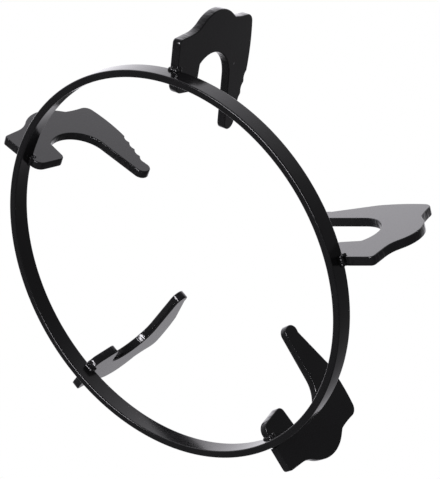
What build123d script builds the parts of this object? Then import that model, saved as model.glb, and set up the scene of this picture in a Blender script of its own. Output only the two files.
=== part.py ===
"""Pot stand for a gas stove: a hoop of flat bar with five plate claws welded on edge round it.

Millimetres. The hoop's axis is Z, its lower edge lies on Z = 0 and the first claw stands on +X.
"""

import os
from math import cos, radians, sin

from build123d import *

os.makedirs("parts", exist_ok=True)

# Hoop: flat bar rolled with its wide face round the outside.
hoop_radius = 95.0
bar_thickness = 3.5
bar_height = 9.1
bar_rounding = 0.7

# Claws: one blank cut from plate, used for each.
claw_count = 5
plate_thickness = 4.3
plate_rounding = 0.5

# How far each claw stands out of true, as the photograph shows of this hand-welded stand:
# turned on its seat and leaning, in degrees, and set outwards, in millimetres.
claw_turns = [2.9, 0.8, 0.4, 0.4, 3.5]
claw_leans = [2.9, 1.8, 2.4, 1.2, 2.0]
claw_slides = [1.0, 0.3, 0.8, 0.5, -0.5]

# The blank's outer edge, from the middle of the seat: out from the hoop's axis, then up.
heel = (16.4, -0.8)
neck_height = 9.0
bump_start = (19.0, 17.4)
bump_end = (17.3, 40.1)
bump_run = 3.6
cheek_hollow = 0.5
shoulder = (12.6, 56.3)
crown_height = 1.1

# The line of crests that grips a small pan, from the outer crest down towards the tip.
first_crest = (-15.0, 54.2)
crest_step = (-5.22, -2.1)
scallop_count = 4

# The scallops between the crests are milled at a slant: deep at one face, faint at the other.
deep_scallop = 1.15
faint_scallop = 0.3
cutter_height = 3.0

# The finger's nose, its arched underside and the foot that hooks inside the hoop.
nose_step = (-0.85, -7.8)
arch_top = (-13.6, 39.2)
crotch = (0.2, 15.4)
toe_high = (-11.8, 13.0)
toe_low = (-8.3, -2.8)

# The base slopes down inwards and is slotted to sit over the bar, with play on either side.
slot_play = 1.5

# Radii of the blank's corners.
heel_radius = 2.0
notch_radius = 1.6
shoulder_radius = 4.5
brow_radius = 3.0
crest_radius = 0.7
crotch_radius = 1.2
toe_high_radius = 3.0
toe_low_radius = 4.8

# Weld: one run round and under each seat, proud of the bar's walls and of the plate's faces.
root_gap = 0.1
weld_proud = 1.6
weld_overlap = 0.8
weld_above = 1.2
weld_below = 3.0
weld_rounding = 1.0

bar_middle = hoop_radius - bar_thickness / 2


def stepped(start, step, times=1):
    """The point that many steps on from the start."""
    return (start[0] + step[0] * times, start[1] + step[1] * times)


def seat_plane(number):
    """The upright plane of a true claw, with its origin in the middle of the hoop's upper edge."""
    station = radians(number * 360 / claw_count)
    out = (cos(station), sin(station), 0)
    middle = (bar_middle * out[0], bar_middle * out[1], bar_height)
    return Plane(middle, x_dir=out, z_dir=(out[1], -out[0], 0))


def claw_plane(number):
    """The middle plane of the claw as welded: out of true, and raised to leave the root gap."""
    turn = claw_turns[number % len(claw_turns)]
    lean = claw_leans[number % len(claw_leans)]
    slide = claw_slides[number % len(claw_slides)]
    lift = root_gap + plate_thickness / 2 * sin(radians(abs(lean)))
    stance = Rotation(0, turn, 0) * Location((slide, lift, 0), (lean, 0, 0))
    return Plane(seat_plane(number).location * stance)


with BuildPart() as hoop:
    with BuildSketch(Plane.XZ):
        with Locations((bar_middle, bar_height / 2)):
            RectangleRounded(bar_thickness, bar_height, bar_rounding)
    revolve(axis=Axis.Z)
hoop.part.label = "hoop"
export_step(hoop.part, "parts/hoop.step")


# The blank, drawn anticlockwise from its heel.
last_crest = stepped(first_crest, crest_step, scallop_count)
nose_under = stepped(last_crest, nose_step)

corner_radii = [
    (heel, heel_radius),
    (shoulder, shoulder_radius),
    (first_crest, brow_radius),
    (crotch, crotch_radius),
    (toe_high, toe_high_radius),
    (toe_low, toe_low_radius),
]

with BuildSketch() as blank:
    with BuildLine():
        neck = Line(heel, (heel[0], neck_height))
        hollow = TangentArc(neck @ 1, bump_start, tangent=neck % 1)
        bump = TangentArc(bump_start, bump_end, tangent=hollow % 1)
        notch = bump @ 1 + bump_run * (bump % 1)
        Line(bump_end, notch)
        SagittaArc(notch, shoulder, cheek_hollow)
        SagittaArc(shoulder, first_crest, -crown_height)
        Line(first_crest, last_crest)
        under = Line(nose_under, arch_top)
        TangentArc(nose_under, last_crest, tangent=-(under % 0))
        TangentArc(arch_top, crotch, tangent=under % 1)
        Polyline(crotch, toe_high, toe_low, heel)
    make_face()
    for corner, radius in corner_radii + [(notch, notch_radius)]:
        fillet(blank.vertices().sort_by_distance(corner)[0], radius)


# The milling cutter's profile at the deep face: scallops below, clear of the plate above.
crests = [stepped(first_crest, crest_step, number) for number in range(scallop_count + 1)]
crest_normal = Vector(crest_step[1], -crest_step[0]).normalized()

with BuildSketch() as cutter:
    with BuildLine():
        for start, end in zip(crests, crests[1:]):
            SagittaArc(start, end, deep_scallop)
        above = [crest_normal * cutter_height + Vector(*crest) for crest in (crests[-1], crests[0])]
        Polyline(crests[-1], *above, crests[0])
    make_face()
    for crest in crests[1:-1]:
        fillet(cutter.vertices().sort_by_distance(crest)[0], crest_radius)


# One claw, lying flat: the plate is cut out and eased along its edges, then slotted and milled.
climb = crest_normal * (deep_scallop - faint_scallop)
slant = climb + Vector(0, 0, plate_thickness)

with BuildPart() as flat_claw:
    with BuildSketch():
        add(blank.sketch)
    extrude(amount=plate_thickness / 2, both=True)
    fillet(flat_claw.faces().sort_by(SortBy.AREA)[-2:].edges(), plate_rounding)
    with BuildSketch():
        Rectangle(bar_thickness + 2 * slot_play, bar_height, align=(Align.CENTER, Align.MAX))
    extrude(amount=plate_thickness, both=True, mode=Mode.SUBTRACT)
    with BuildSketch(Plane.XY.offset(-plate_thickness / 2)):
        add(cutter.sketch)
    extrude(amount=2 * slant.length, dir=slant, both=True, mode=Mode.SUBTRACT)


for number in range(claw_count):
    seat = seat_plane(number)

    with BuildPart(claw_plane(number)) as claw:
        add(flat_claw.part)
    claw.part.label = f"claw_{number + 1}"
    export_step(claw.part, f"parts/claw_{number + 1}.step")

    with BuildPart() as weld:
        with BuildSketch(seat):
            with Locations((0, (weld_above - weld_below) / 2)):
                RectangleRounded(bar_thickness + 2 * weld_proud, weld_above + weld_below, weld_rounding)
        extrude(amount=plate_thickness / 2 + weld_overlap, both=True)
        ends = weld.faces().filter_by(Axis(seat.origin, seat.z_dir))
        fillet(ends.edges(), weld_rounding)
        add(hoop.part, mode=Mode.SUBTRACT)
        add(claw.part, mode=Mode.SUBTRACT)
    weld.part.label = f"weld_{number + 1}"
    export_step(weld.part, f"parts/weld_{number + 1}.step")
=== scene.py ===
"""Looks of the pot stand: gloss black enamel over a hoop, five plate claws and their welds."""

from math import cos, pi, radians, sin
from random import Random

import bmesh
import bpy
from mathutils import Matrix, Vector


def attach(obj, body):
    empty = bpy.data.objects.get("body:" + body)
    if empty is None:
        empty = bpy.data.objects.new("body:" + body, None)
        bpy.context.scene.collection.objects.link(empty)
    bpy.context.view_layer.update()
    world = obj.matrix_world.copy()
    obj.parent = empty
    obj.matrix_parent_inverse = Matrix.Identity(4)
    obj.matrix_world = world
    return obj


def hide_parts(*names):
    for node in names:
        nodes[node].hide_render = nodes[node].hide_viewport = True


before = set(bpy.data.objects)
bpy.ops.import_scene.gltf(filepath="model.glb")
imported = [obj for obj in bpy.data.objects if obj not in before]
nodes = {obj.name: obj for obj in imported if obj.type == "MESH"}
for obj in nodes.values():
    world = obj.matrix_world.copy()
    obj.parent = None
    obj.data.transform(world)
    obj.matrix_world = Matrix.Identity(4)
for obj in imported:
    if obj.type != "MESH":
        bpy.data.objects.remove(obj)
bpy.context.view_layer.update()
scene = bpy.context.scene
MM = 0.001

# Sizes that the hoop and the weld runs are made by, as in the solids.
HOOP_RADIUS = 95.0 * MM
BAR_THICKNESS = 3.5 * MM
BAR_HEIGHT = 9.1 * MM
BAR_ROUNDING = 0.7 * MM
PLATE_THICKNESS = 4.3 * MM
WELD_PROUD = 1.6 * MM
WELD_OVERLAP = 0.8 * MM
WELD_ABOVE = 1.2 * MM
WELD_BELOW = 3.0 * MM

# How each claw stands on its seat, as in the solids: turned, leaning and set outwards.
CLAW_TURNS = (2.9, 0.8, 0.4, 0.4, 3.5)
CLAW_LEANS = (2.9, 1.8, 2.4, 1.2, 2.0)
CLAW_SLIDES = (1.0, 0.3, 0.8, 0.5, -0.5)
CLAW_COUNT = len(CLAW_TURNS)

# Scales of the enamel's textures, in repeats a metre.
CLOUD_SCALE = 70.0
PEEL_SCALE = 620.0
GRIT_SCALE = 2600.0
WAVE_SCALE = 430.0
PIT_SCALE = 60.0

# How far the waves are drawn out across a cut edge, and how small a pit is in its cell.
WAVE_STRETCH = 0.6
PIT_SHARPNESS = 28.0

# The hoop's steps round its axis and round each of the bar's corners.
HOOP_STEPS = 320
CORNER_STEPS = 8

# Lumps of weld: how many in a row, and their radii in millimetres.
WALL_LUMPS = 4
WALL_LUMP_SIZES = (1.0, 1.45)
FACE_LUMPS = 5
FACE_LUMP_SIZES = (0.65, 0.8)
FIRST_SEED = 11

# How far each claw's weld stands proud inside the hoop, as a share of how far it does outside.
INSIDE_SHARES = (1.0, 0.8, 1.0, 0.9, 0.5)

# The colour of the light.
TINT = (1.0, 0.98, 1.035, 1)


# Shader maths


class Field:
    """A socket whose values add up as Python expressions."""

    def __init__(self, kit, socket):
        self.kit = kit
        self.socket = socket

    def maths(self, operation, *inputs):
        return self.kit.node("ShaderNodeMath", {"operation": operation}, *inputs)

    def __add__(self, other):
        return self.maths("ADD", self, other)

    def __sub__(self, other):
        return self.maths("SUBTRACT", self, other)

    def __rsub__(self, other):
        return self.maths("SUBTRACT", other, self)

    def __mul__(self, other):
        return self.maths("MULTIPLY", self, other)

    def __pow__(self, other):
        return self.maths("POWER", self, other)

    def at_least(self, level):
        return self.maths("MAXIMUM", self, level)

    def at_most(self, level):
        return self.maths("MINIMUM", self, level)


class Kit:
    """Adds nodes to one node tree."""

    def __init__(self, tree):
        self.tree = tree
        tree.nodes.clear()

    def node(self, kind, settings=None, *inputs, out=0, **named):
        """Adds a node, sets it, feeds its sockets, and gives one output."""
        made = self.tree.nodes.new(kind)
        for key, value in (settings or {}).items():
            setattr(made, key, value)
        for place, value in enumerate(inputs):
            self.feed(made.inputs[place], value)
        for name, value in named.items():
            self.feed(made.inputs[name.replace("_", " ")], value)
        return Field(self, made.outputs[out]) if made.outputs else None

    def feed(self, socket, value):
        if isinstance(value, Field):
            self.tree.links.new(value.socket, socket)
        else:
            socket.default_value = value

    def vector(self, operation, *inputs, out=0, **named):
        return self.node("ShaderNodeVectorMath", {"operation": operation}, *inputs, out=out, **named)

    def dot(self, one, other):
        return self.vector("DOT_PRODUCT", one, other, out="Value")

    def blend(self, share, low, high):
        """A colour between two, by a share from 0 to 1."""
        mix = self.tree.nodes.new("ShaderNodeMix")
        mix.data_type = "RGBA"
        self.feed(mix.inputs["Factor"], share)
        self.feed(mix.inputs[6], low)
        self.feed(mix.inputs[7], high)
        return Field(self, mix.outputs[2])


def grey(level, blue=1.05):
    """A near-neutral colour, a little blue."""
    return (level, level, level * blue, 1)


def shaded(name):
    """A new material with an empty node kit."""
    material = bpy.data.materials.new(name)
    material.use_nodes = True
    return material, Kit(material.node_tree)


# Enamel


def enamel(name, colour, roughness, peel, grit):
    """Gloss black enamel: faint clouds of tone, orange peel and the grit that lies under it."""
    material, kit = shaded(name)
    place = kit.node("ShaderNodeTexCoord", out="Object")
    height = coated(kit, place, peel, grit)
    finish(kit, place, colour, roughness, height)
    return material


def cut_plate(name, colour, roughness, peel, grit, waves, crown, pits, stance):
    """The same enamel over cut plate: its cut edges are wavy, crowned and smoother, and it has a few pits."""
    material, kit = shaded(name)
    place = kit.node("ShaderNodeTexCoord", out="Object")
    across = stance.col[2].xyz
    facing = kit.dot(kit.node("ShaderNodeNewGeometry", out="Normal"), across)
    edge = 1 - facing * facing
    depth = kit.dot(place, across)
    offset = (depth - stance.translation.dot(across)) * (2 / PLATE_THICKNESS)
    level = kit.vector("SCALE", across, Scale=depth * -WAVE_STRETCH)
    stretched = kit.vector("ADD", place, level)
    wave = kit.node("ShaderNodeTexNoise", None, Vector=stretched, Scale=WAVE_SCALE, Detail=2.5)
    spots = kit.node("ShaderNodeTexVoronoi", None, Vector=place, Scale=PIT_SCALE, out="Distance")
    pit = 1 - (spots * PIT_SHARPNESS).at_most(1.0)
    height = coated(kit, place, peel, grit) + edge * (wave * waves - offset * offset * crown) - pit * pits
    finish(kit, place, colour, roughness - edge * (roughness * 0.5), height)
    return material


def coated(kit, place, peel, grit):
    """The height of the enamel's own surface, in millimetres."""
    coat = kit.node("ShaderNodeTexNoise", None, Vector=place, Scale=PEEL_SCALE, Detail=2.0)
    sand = kit.node("ShaderNodeTexNoise", None, Vector=place, Scale=GRIT_SCALE, Detail=2.0)
    return coat * peel + sand * grit


def finish(kit, place, colour, roughness, height):
    """Closes an enamel's tree with its tone, its shine and its surface."""
    clouds = kit.node("ShaderNodeTexNoise", None, Vector=place, Scale=CLOUD_SCALE, Detail=3.0)
    bump = kit.node("ShaderNodeBump", None, Strength=1.0, Distance=MM, Height=height)
    tone = kit.blend(clouds, grey(colour * 0.75), grey(colour * 1.3))
    shine = (clouds * 0.4 + 0.8) * roughness
    surface = kit.node("ShaderNodeBsdfPrincipled", None, Base_Color=tone, Roughness=shine, Normal=bump)
    kit.node("ShaderNodeOutputMaterial", None, surface)


# Pieces


def dress(piece, material):
    """Gives a piece one material."""
    piece.data.materials.clear()
    piece.data.materials.append(material)


def add_piece(name, shape, material):
    """Turns a finished bmesh into an object of one material."""
    mesh = bpy.data.meshes.new(name)
    shape.to_mesh(mesh)
    shape.free()
    piece = bpy.data.objects.new(name, mesh)
    scene.collection.objects.link(piece)
    dress(piece, material)
    return piece


def seat_frame(number):
    """A true claw's frame on its seat: x outwards, y up and z along the hoop."""
    turn = Matrix.Rotation(radians(360 / CLAW_COUNT * number), 4, "Z")
    upright = Matrix.Rotation(radians(90), 4, "X")
    return turn @ Matrix.Translation((HOOP_RADIUS - BAR_THICKNESS / 2, 0, BAR_HEIGHT)) @ upright


def claw_frame(number):
    """The frame of the claw as it is welded, out of true."""
    turned = Matrix.Rotation(radians(CLAW_TURNS[number]), 4, "Y")
    moved = Matrix.Translation((CLAW_SLIDES[number] * MM, 0, 0))
    leaning = Matrix.Rotation(radians(CLAW_LEANS[number]), 4, "X")
    return seat_frame(number) @ turned @ moved @ leaning


for number in range(CLAW_COUNT):
    plate_enamel = cut_plate(
        f"claw_gloss_{number + 1}",
        colour=0.007,
        roughness=0.17,
        peel=0.012,
        grit=0.004,
        waves=0.42,
        crown=0.22,
        pits=0.16,
        stance=claw_frame(number),
    )
    dress(nodes[f"claw_{number + 1}"], plate_enamel)


# Hoop: the same bar spun finely, so that its rounded edges mirror the lamp in an unbroken line


def bar_section():
    """The bar's outline standing on the X axis, with rounded corners and no face."""
    shape = bmesh.new()
    bmesh.ops.create_grid(shape, x_segments=1, y_segments=1, size=0.5)
    bmesh.ops.scale(shape, verts=shape.verts, vec=(BAR_THICKNESS, BAR_HEIGHT, 1))
    bmesh.ops.bevel(
        shape,
        geom=shape.verts[:],
        offset=BAR_ROUNDING,
        segments=CORNER_STEPS,
        profile=0.5,
        affect="VERTICES",
        material=-1,
    )
    upright = Matrix.Rotation(radians(90), 4, "X")
    middle = Matrix.Translation((HOOP_RADIUS - BAR_THICKNESS / 2, 0, BAR_HEIGHT / 2))
    bmesh.ops.transform(shape, verts=shape.verts, matrix=middle @ upright)
    bmesh.ops.delete(shape, geom=shape.faces[:], context="FACES_ONLY")
    return shape


def make_hoop(coat):
    shape = bar_section()
    bmesh.ops.spin(
        shape,
        geom=shape.verts[:] + shape.edges[:],
        cent=(0, 0, 0),
        axis=(0, 0, 1),
        angle=2 * pi,
        steps=HOOP_STEPS,
        use_merge=True,
    )
    bmesh.ops.recalc_face_normals(shape, faces=shape.faces)
    for face in shape.faces:
        face.smooth = True
    hoop = add_piece("rolled_hoop", shape, coat)
    flat = hoop.modifiers.new("flat_walls", "WEIGHTED_NORMAL")
    flat.weight = 100
    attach(hoop, "root")
    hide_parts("hoop")


make_hoop(enamel("hoop_gloss", colour=0.006, roughness=0.15, peel=0.010, grit=0.001))


# Welds: lumps of weld metal melted together round each seat


def spaced(span, step, count):
    """Where one of a row of lumps lies, from -span to span."""
    middle = (count - 1) / 2
    return span * (step - middle) / middle


def lay_bead(shape, seat, chance, inside):
    """Lays lumps along both walls of the bar, so proud inside, and along both faces of the plate."""
    reach = PLATE_THICKNESS / 2 + WELD_OVERLAP
    for side in (-1, 1):
        for row, inwards in ((WELD_ABOVE, -1), (-WELD_BELOW, 1)):
            for step in range(WALL_LUMPS):
                size = chance.uniform(*WALL_LUMP_SIZES) * MM
                proud = WELD_PROUD * chance.uniform(0.8, 1.0) * (inside if side < 0 else 1.0)
                out = side * (BAR_THICKNESS / 2 + proud - size)
                along = spaced(reach - size, step, WALL_LUMPS)
                drop(shape, seat, (out, row + inwards * size, along), size)
        for step in range(FACE_LUMPS):
            size = chance.uniform(*FACE_LUMP_SIZES) * MM
            out = spaced(BAR_THICKNESS / 2 + WELD_PROUD - size, step, FACE_LUMPS)
            up = WELD_ABOVE - size * chance.uniform(1.0, 1.6)
            drop(shape, seat, (out, up, side * (reach - size)), size)


def drop(shape, seat, place, size):
    """Adds one lump at a place measured from the seat."""
    spot = seat @ Matrix.Translation(place)
    bmesh.ops.create_icosphere(shape, subdivisions=3, radius=size, matrix=spot)


def make_weld(number, coat, inside):
    """One weld run, its lumps melted into a single skin."""
    shape = bmesh.new()
    lay_bead(shape, seat_frame(number), Random(FIRST_SEED + number), inside)
    bead = add_piece(f"weld_bead_{number + 1}", shape, coat)
    melt = bead.modifiers.new("melt", "REMESH")
    melt.mode = "VOXEL"
    melt.voxel_size = 0.16 * MM
    melt.use_smooth_shade = True
    soften = bead.modifiers.new("soften", "SMOOTH")
    soften.factor = 0.5
    soften.iterations = 5
    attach(bead, "root")
    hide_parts(f"weld_{number + 1}")


weld_coat = enamel("weld_gloss", colour=0.006, roughness=0.12, peel=0.03, grit=0.003)
for number, inside in enumerate(INSIDE_SHARES):
    make_weld(number, weld_coat, inside)


# Camera


def aim(place, turn, lens):
    """Sets the camera by its place in metres, its turn in degrees and its lens in millimetres."""
    data = bpy.data.cameras.new("camera")
    data.lens = lens
    data.sensor_width = 36
    data.clip_start = 0.01
    data.clip_end = 100
    camera = bpy.data.objects.new("camera", data)
    camera.location = place
    camera.rotation_euler = [radians(angle) for angle in turn]
    scene.collection.objects.link(camera)
    scene.camera = camera


aim((0.58718, -0.23677, -0.61609), (153.6714, -36.5187, 17.688), 145.379)


# Floor


def make_floor(radius, below):
    """Paper that is there from above and clear from beneath, where the photograph is taken from."""
    material, kit = shaded("floor_paper")
    crossed = kit.node("ShaderNodeLightPath", out="Transparent Depth")
    front = 1 - kit.node("ShaderNodeNewGeometry", out="Backfacing")
    paper = kit.node(
        "ShaderNodeBsdfPrincipled",
        None,
        Base_Color=grey(0.86, 1.0),
        Roughness=0.9,
        Emission_Color=grey(1.0, 1.0),
        Emission_Strength=0.2,
    )
    clear = kit.node("ShaderNodeBsdfTransparent")
    from_above = front * (1 - crossed.at_most(1.0))
    kit.node("ShaderNodeOutputMaterial", None, kit.node("ShaderNodeMixShader", None, from_above, clear, paper))
    shape = bmesh.new()
    bmesh.ops.create_circle(shape, cap_ends=True, segments=96, radius=radius)
    bmesh.ops.translate(shape, verts=shape.verts, vec=(0, 0, -below))
    add_piece("floor", shape, material)


make_floor(radius=3.9, below=0.0003)


# Light: a tent that is bright on one side, a long lamp beneath, and a white background


def bearing(azimuth, elevation):
    """The direction at an azimuth and an elevation, in degrees."""
    level = cos(radians(elevation))
    return Vector((level * cos(radians(azimuth)), level * sin(radians(azimuth)), sin(radians(elevation))))


def add_light(name, shape, material):
    """Adds a shape that lights the stand and can't be seen itself."""
    light = add_piece(name, shape, material)
    light.visible_camera = False


def glow(kit, strength):
    """Closes a light's tree with its strength."""
    light = kit.node("ShaderNodeEmission", None, Color=TINT, Strength=strength)
    kit.node("ShaderNodeOutputMaterial", None, light)


def make_tent(radius, key, low, high):
    """A round tent, brightest towards the key."""
    material, kit = shaded("tent_cloth")
    way = kit.vector("NORMALIZE", kit.node("ShaderNodeTexCoord", out="Object"))
    glow(kit, kit.dot(way, key).at_least(0.0) ** 2.0 * high + low)
    shape = bmesh.new()
    bmesh.ops.create_icosphere(shape, subdivisions=4, radius=radius)
    add_light("tent", shape, material)


def make_lamp(way, along, distance, length, width, strength):
    """A long oval lamp facing the stand, soft towards its rim."""
    sideways = way.cross(along).normalized()
    along = sideways.cross(way)
    material, kit = shaded("lamp_glass")
    place = kit.node("ShaderNodeTexCoord", out="Object")
    lengthwise = kit.dot(place, along * (2 / length))
    crosswise = kit.dot(place, sideways * (2 / width))
    inside_rim = (1 - lengthwise * lengthwise - crosswise * crosswise).at_least(0.0)
    glow(kit, inside_rim**0.5 * strength)
    axes = Matrix((along, sideways, way)).transposed().to_4x4()
    shape = bmesh.new()
    bmesh.ops.create_circle(shape, cap_ends=True, segments=64, radius=0.5)
    bmesh.ops.scale(shape, verts=shape.verts, vec=(length, width, 1))
    bmesh.ops.transform(shape, verts=shape.verts, matrix=Matrix.Translation(way * distance) @ axes)
    add_light("lamp", shape, material)


make_tent(radius=4.0, key=bearing(-150, 45), low=0.12, high=1.7)
make_lamp(
    way=bearing(-71, -67),
    along=Vector((0.58, 0.81, -0.11)),
    distance=1.6,
    length=1.8,
    width=0.38,
    strength=27.0,
)

world = bpy.data.worlds.new("background")
scene.world = world
world.use_nodes = True
sky = Kit(world.node_tree)
seen = sky.node("ShaderNodeLightPath", out="Is Camera Ray")
mirrored = sky.node("ShaderNodeLightPath", out="Is Glossy Ray")
through = sky.node("ShaderNodeLightPath", out="Is Transmission Ray")
white = (seen + mirrored + through).at_most(1.0)
sky.node("ShaderNodeOutputWorld", None, sky.node("ShaderNodeBackground", None, Color=grey(1, 1), Strength=white))

scene.view_settings.view_transform = "Standard"
